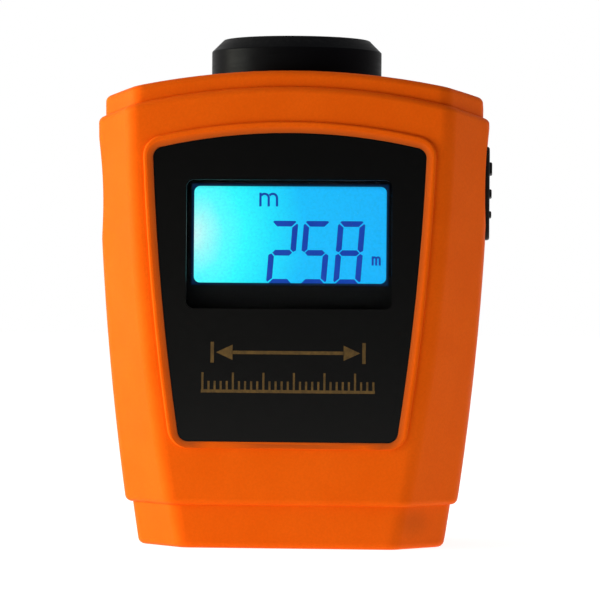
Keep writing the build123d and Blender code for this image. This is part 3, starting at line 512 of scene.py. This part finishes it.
finishes = {
    "front_shell rear_shell battery_door": orange_plastic(),
    "face_plate": black_plate(),
    "display_window laser_window": clear_pane(),
    "lcd_glass": lit_glass(),
    "lcd_holder": holder_plastic(),
    "battery_clip switch_body buzzer": black_plastic(),
    "horn": horn_plastic(),
    "side_button": rubber("button_rubber", 0.006, 0.58),
    "transducer_sleeve contact_strip": rubber("seal_rubber", 0.02, 0.7),
    "light_guide": tinted_plastic("milky_guide", (0.75, 0.85, 0.9), 0.3),
    "backlight_lamp": tinted_plastic("lamp_body", (0.8, 0.8, 0.74), 0.35),
    "main_board": board_green(),
    "board_chips": tinted_plastic("chip_black", (0.018, 0.018, 0.02), 0.5),
    "board_capacitors": tinted_plastic("capacitor_sleeve", (0.02, 0.03, 0.09), 0.35),
    "pulse_transformer": copper_and_ferrite(),
    "clock_crystal battery_terminals clip_contacts":
        metal("plated_metal", (0.72, 0.71, 0.69), 0.22),
    "transducer_mesh": metal("mesh_metal", (0.62, 0.62, 0.63), 0.3),
    "transducer_can transducer_cone": metal("bare_aluminium", (0.74, 0.74, 0.76), 0.34, (1, 1, 4)),
    "casing_screws board_screws": metal("screw_steel", (0.42, 0.42, 0.43), 0.32),
    "laser_module": metal("turned_brass", (0.78, 0.56, 0.22), 0.25, (1, 1, 6)),
    "battery_case": battery_jacket(),
    "battery_lead_red": tinted_plastic("red_insulation", (0.45, 0.012, 0.01), 0.4),
    "battery_lead_black": tinted_plastic("black_insulation", (0.015, 0.015, 0.016), 0.4),
    "transducer_leads laser_leads": tinted_plastic("grey_insulation", (0.4, 0.4, 0.42), 0.4),
    "switch_plunger": tinted_plastic("plunger_plastic", (0.6, 0.58, 0.52), 0.4),
}
for names, finish in finishes.items():
    for name in names.split():
        mesh = nodes[name].data
        mesh.materials.clear()
        mesh.materials.append(finish)


# ---- Mesh helpers -------------------------------------------------------------------------------

def add_piece(name, bm, material, body):
    """Turns a bmesh into a piece that rides on a body."""
    mesh = bpy.data.meshes.new(name)
    bmesh.ops.recalc_face_normals(bm, faces=bm.faces)
    bm.to_mesh(mesh)
    bm.free()
    mesh.materials.append(material)
    piece = bpy.data.objects.new(name, mesh)
    scene.collection.objects.link(piece)
    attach(piece, body)
    return piece


def prism(bm, outline, y_front, thick):
    """A flat shape of (x, z) points in metres, with its front at y_front."""
    front = [bm.verts.new((x, y_front, z)) for x, z in outline]
    back = [bm.verts.new((x, y_front + thick, z)) for x, z in outline]
    bm.faces.new(front)
    bm.faces.new(list(reversed(back)))
    count = len(outline)
    for i in range(count):
        j = (i + 1) % count
        bm.faces.new((front[j], front[i], back[i], back[j]))


def bar(bm, x0, x1, z0, z1, y_front, thick):
    prism(bm, [(x0, z0), (x1, z0), (x1, z1), (x0, z1)], y_front, thick)


def ribbon(bm, points, wide, y_front, thick):
    """A stroke of even width along (x, z) points."""
    left, right = [], []
    for i, (x, z) in enumerate(points):
        ax, az = points[max(i - 1, 0)]
        bx, bz = points[min(i + 1, len(points) - 1)]
        length = math.hypot(bx - ax, bz - az)
        nx, nz = -(bz - az) / length, (bx - ax) / length
        left.append((x + nx * wide / 2, z + nz * wide / 2))
        right.append((x - nx * wide / 2, z - nz * wide / 2))
    prism(bm, left + right[::-1], y_front, thick)


# ---- Display digits -----------------------------------------------------------------------------

SEGMENTS = {2: "abged", 5: "afgcd", 8: "abcdefg"}
# Each digit shown, with the x of its middle.
DIGITS = ((2, -1.3 * MM), (5, 4.1 * MM), (8, 9.75 * MM))
DIGIT_MIDDLE_Z = 48.6 * MM
DIGIT_WIDE = 3.55 * MM
HALF_TALL = 4.78 * MM
STROKE = 0.93 * MM
MITRE = 0.13 * MM
CORNER_CUT = 0.4 * MM
SLANT = 0.078
INK_Y = glass_low.y - 0.05 * MM
INK_THICK = 0.03 * MM

# Each metre sign: its left end, its foot, its width, its height and its stroke.
UNIT_SIGNS = (
    (-4.95 * MM, 56.2 * MM, 3.1 * MM, 2.25 * MM, 0.37 * MM),
    (13.6 * MM, 46.6 * MM, 1.5 * MM, 1.5 * MM, 0.34 * MM),
)


def segment_outline(letter):
    """One segment round a digit whose middle bar is centred on (0, 0), before it slants."""
    w, h, t, g, c = DIGIT_WIDE / 2, HALF_TALL, STROKE / 2, MITRE, CORNER_CUT
    right_end = [(w + t - g - c, h + t), (w + t - g - c / 2, h + t - c / 2), (w - t - g, h - t)]
    end_bar = [(-x, z) for x, z in reversed(right_end)] + right_end
    mid_bar = [
        (-w + g, 0), (-w + t + g, t), (w - t - g, t), (w - g, 0), (w - t - g, -t), (-w + t + g, -t)
    ]
    post = [
        (w + t - c / 2, h + t - g * 2 - c / 2), (w + t, h + t - g * 2 - c), (w + t, g + t * 0.5),
        (w, g), (w - t, g + t), (w - t, h - t - g),
    ]
    flip_x = [(-x, z) for x, z in post]
    shapes = {
        "a": end_bar, "g": mid_bar, "b": post, "f": flip_x,
        "d": [(x, -z) for x, z in end_bar],
        "c": [(x, -z) for x, z in post], "e": [(x, -z) for x, z in flip_x],
    }
    return shapes[letter]


def digits():
    bm = bmesh.new()
    for digit, middle_x in DIGITS:
        for letter in SEGMENTS[digit]:
            shape = segment_outline(letter)
            outline = [(middle_x + x + SLANT * z, DIGIT_MIDDLE_Z + z) for x, z in shape]
            prism(bm, outline, INK_Y, INK_THICK)
    add_piece("display_digits", bm, ink, "casing")


def letter_m(bm, x, z, wide, tall, stroke):
    """The metre sign: a post and two arches."""
    ribbon(bm, [(x, z), (x, z + tall)], stroke, INK_Y, INK_THICK)
    step = (wide - stroke) / 2
    r = step / 2
    top = z + tall - r - stroke / 2
    angles = [math.radians(12 * k) for k in range(3, 16)]
    for left in (x, x + step):
        arch = [(left + r - r * math.cos(a), top + r * math.sin(a)) for a in angles]
        ribbon(bm, arch + [(left + step, z)], stroke, INK_Y, INK_THICK)


def unit_signs():
    bm = bmesh.new()
    for sign in UNIT_SIGNS:
        letter_m(bm, *sign)
    add_piece("display_unit", bm, ink, "casing")


ink = segment_ink()
digits()
unit_signs()


# ---- Printed scale on the face plate ------------------------------------------------------------

PRINT_Y = plate_low.y - 0.02 * MM
PRINT_THICK = 0.03 * MM

ARROW_Z = 32.2 * MM
ARROW_HALF = 12.7 * MM
ARROW_TIP_IN = 0.9 * MM
ARROW_HEAD_IN = 3.6 * MM
ARROW_HEAD_HALF = 1.25 * MM
SHAFT_HALF = 9.2 * MM
SHAFT_HALF_TALL = 0.28 * MM
POST_WIDE = 0.55 * MM
POST_HALF_TALL = 1.7 * MM

RULER_Z = 25.6 * MM
RULER_HALF = 14.25 * MM
RULER_THICK = 0.5 * MM
TICKS_A_SIDE = 14
TICK_PITCH = 1.0 * MM
TICK_HALF_WIDE = 0.17 * MM
LONG_TICK = 3.3 * MM
SHORT_TICK = 1.9 * MM
LONG_TICK_EVERY = 5


def printed_scale():
    """A double arrow between two end bars, over a ruler's ticks."""
    bm = bmesh.new()
    for sign in (-1, 1):
        tip, foot = sign * (ARROW_HALF - ARROW_TIP_IN), sign * (ARROW_HALF - ARROW_HEAD_IN)
        upper, lower = (foot, ARROW_Z + ARROW_HEAD_HALF), (foot, ARROW_Z - ARROW_HEAD_HALF)
        prism(bm, [(tip, ARROW_Z), upper, lower], PRINT_Y, PRINT_THICK)
        x0, x1 = sorted((sign * ARROW_HALF, sign * (ARROW_HALF - POST_WIDE)))
        bar(bm, x0, x1, ARROW_Z - POST_HALF_TALL, ARROW_Z + POST_HALF_TALL, PRINT_Y, PRINT_THICK)
    z0, z1 = ARROW_Z - SHAFT_HALF_TALL, ARROW_Z + SHAFT_HALF_TALL
    bar(bm, -SHAFT_HALF, SHAFT_HALF, z0, z1, PRINT_Y, PRINT_THICK)
    ticks_z = RULER_Z + RULER_THICK
    bar(bm, -RULER_HALF, RULER_HALF, RULER_Z, ticks_z, PRINT_Y, PRINT_THICK)
    for i in range(-TICKS_A_SIDE, TICKS_A_SIDE + 1):
        is_long = i % LONG_TICK_EVERY == 1
        top_z = RULER_Z + (LONG_TICK if is_long else SHORT_TICK)
        x0, x1 = i * TICK_PITCH - TICK_HALF_WIDE, i * TICK_PITCH + TICK_HALF_WIDE
        bar(bm, x0, x1, ticks_z, top_z, PRINT_Y, PRINT_THICK)
    add_piece("printed_scale", bm, gold_print(), "casing")


printed_scale()


# ---- Foam pad behind the battery ----------------------------------------------------------------

PAD_CELLS = (24, 40)
PAD_PINCH = 0.45
PAD_PINCH_POWER = 10
PAD_WAVE = 0.02
PAD_WAVE_TURNS = (37, 41)
PAD_WAIST = 0.004


def battery_pad():
    """A die cut foam pad, pinched thinner at its edges."""
    bm = bmesh.new()
    bmesh.ops.create_grid(bm, x_segments=PAD_CELLS[0], y_segments=PAD_CELLS[1], size=0.5)
    wide, tall = pad_high.x - pad_low.x, pad_high.z - pad_low.z
    thick = pad_high.y - pad_low.y
    middle = (pad_low + pad_high) / 2
    made = bmesh.ops.extrude_face_region(bm, geom=bm.faces[:])
    lifted = {v for v in made["geom"] if isinstance(v, bmesh.types.BMVert)}
    for v in bm.verts:
        u, w = v.co.x * 2, v.co.y * 2
        side = 1 if v in lifted else -1
        pinch = 1 - PAD_PINCH * max(abs(u), abs(w)) ** PAD_PINCH_POWER
        wave = PAD_WAVE * math.sin(PAD_WAVE_TURNS[0] * u) * math.sin(PAD_WAVE_TURNS[1] * w)
        v.co = Vector((
            middle.x + u * wide / 2 * (1 - PAD_WAIST * w * w),
            middle.y + side * (thick / 2) * (pinch - abs(wave)),
            middle.z + w * tall / 2,
        ))
    pad = add_piece("foam_pad", bm, foam(), "casing")
    for face in pad.data.polygons:
        face.use_smooth = True
    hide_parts("battery_pad")


battery_pad()


# ---- Floor, light and camera --------------------------------------------------------------------

FLOOR_NEAR_Y = -0.22
FLOOR_FAR_Y = 3.0
FLOOR_HALF_X = 3.0
FLOOR_GLOW = 0.88

# How bright the room is at the left and at the right, and its lowest level, straight ahead.
ROOM_LEFT = 0.7
ROOM_RIGHT = 0.38
ROOM_AHEAD = 0.02
ROOM_FADE_Y = (-0.92, -0.25)

# Each lamp's place, the point that it faces, its side and its power.
KEY_LAMP = ("key_left", (-0.14, -0.10, 0.02), (-0.02, -0.018, 0.03), 0.12, 0.14)
FAR_LAMP = ("far_left", (-0.55, -0.06, 0.10), (-0.03, 0, 0.04), 0.35, 3.9)
WARM = (1.0, 0.97, 0.75)

ASIDE_DEG = 3.3
ROLL_DEG = 0.45
CAMERA_FAR = 570 * MM
CAMERA_HIGH = 41.5 * MM
AIM_X = 0.84 * MM
FOCAL = 202.6
SENSOR = 36.0


def floor():
    """A white floor that glows a little, so that it runs into the white background."""
    bm = bmesh.new()
    near, far, half = FLOOR_NEAR_Y, FLOOR_FAR_Y, FLOOR_HALF_X
    corners = ((-half, near, 0), (half, near, 0), (half, far, 0), (-half, far, 0))
    bm.faces.new([bm.verts.new(corner) for corner in corners])
    mesh = bpy.data.meshes.new("floor")
    bm.to_mesh(mesh)
    bm.free()
    mat, tree, shader = new_material("floor_white", (0.4, 0.4, 0.4), 0.8, Specular_IOR_Level=0.0)
    shader.inputs["Emission Color"].default_value = (1, 1, 1, 1)
    shader.inputs["Emission Strength"].default_value = FLOOR_GLOW
    mesh.materials.append(mat)
    plane = bpy.data.objects.new("floor", mesh)
    scene.collection.objects.link(plane)


def area_light(name, place, target, side, watts):
    """A warm square lamp."""
    data = bpy.data.lights.new(name, "AREA")
    data.shape = "RECTANGLE"
    data.size = side
    data.size_y = side
    data.energy = watts
    data.color = WARM
    lamp = bpy.data.objects.new(name, data)
    lamp.location = place
    lamp.rotation_mode = "QUATERNION"
    lamp.rotation_quaternion = (Vector(target) - Vector(place)).to_track_quat("-Z", "Y")
    scene.collection.objects.link(lamp)


def studio():
    """A pale room, dark only in front, where the camera stands, with warm lamps at the left.

    The camera sees it as plain white.
    """
    world = bpy.data.worlds.new("studio")
    scene.world = world
    world.use_nodes = True
    tree = world.node_tree
    background = tree.nodes["Background"]
    way = axes(tree, tree.nodes.new("ShaderNodeTexCoord").outputs["Generated"])
    ahead = span(tree, way["Y"], *ROOM_FADE_Y, ROOM_AHEAD, 1.0, True)
    across = span(tree, way["X"], -1.0, 1.0, ROOM_LEFT, ROOM_RIGHT)
    level = math_node(tree, "MULTIPLY", ahead, across)
    eye = tree.nodes.new("ShaderNodeLightPath").outputs["Is Camera Ray"]
    shown = math_node(tree, "MAXIMUM", eye, level)
    tree.links.new(shown, background.inputs["Strength"])
    background.inputs["Color"].default_value = (1, 1, 1, 1)
    area_light(*KEY_LAMP)
    area_light(*FAR_LAMP)


def camera():
    """The camera stands a little to the right, level with the middle of the casing."""
    data = bpy.data.cameras.new("camera")
    data.lens = FOCAL
    data.sensor_width = SENSOR
    data.clip_start = 0.01
    data.clip_end = 20
    cam = bpy.data.objects.new("camera", data)
    aside = math.radians(ASIDE_DEG)
    aim = Vector((AIM_X, 0, CAMERA_HIGH))
    away = Vector((math.sin(aside), -math.cos(aside), 0))
    cam.location = aim + away * CAMERA_FAR
    cam.rotation_mode = "QUATERNION"
    look = (-away).to_track_quat("-Z", "Y")
    cam.rotation_quaternion = Quaternion(-away, math.radians(-ROLL_DEG)) @ look
    scene.collection.objects.link(cam)
    scene.camera = cam


floor()
studio()
camera()
scene.view_settings.view_transform = "Standard"
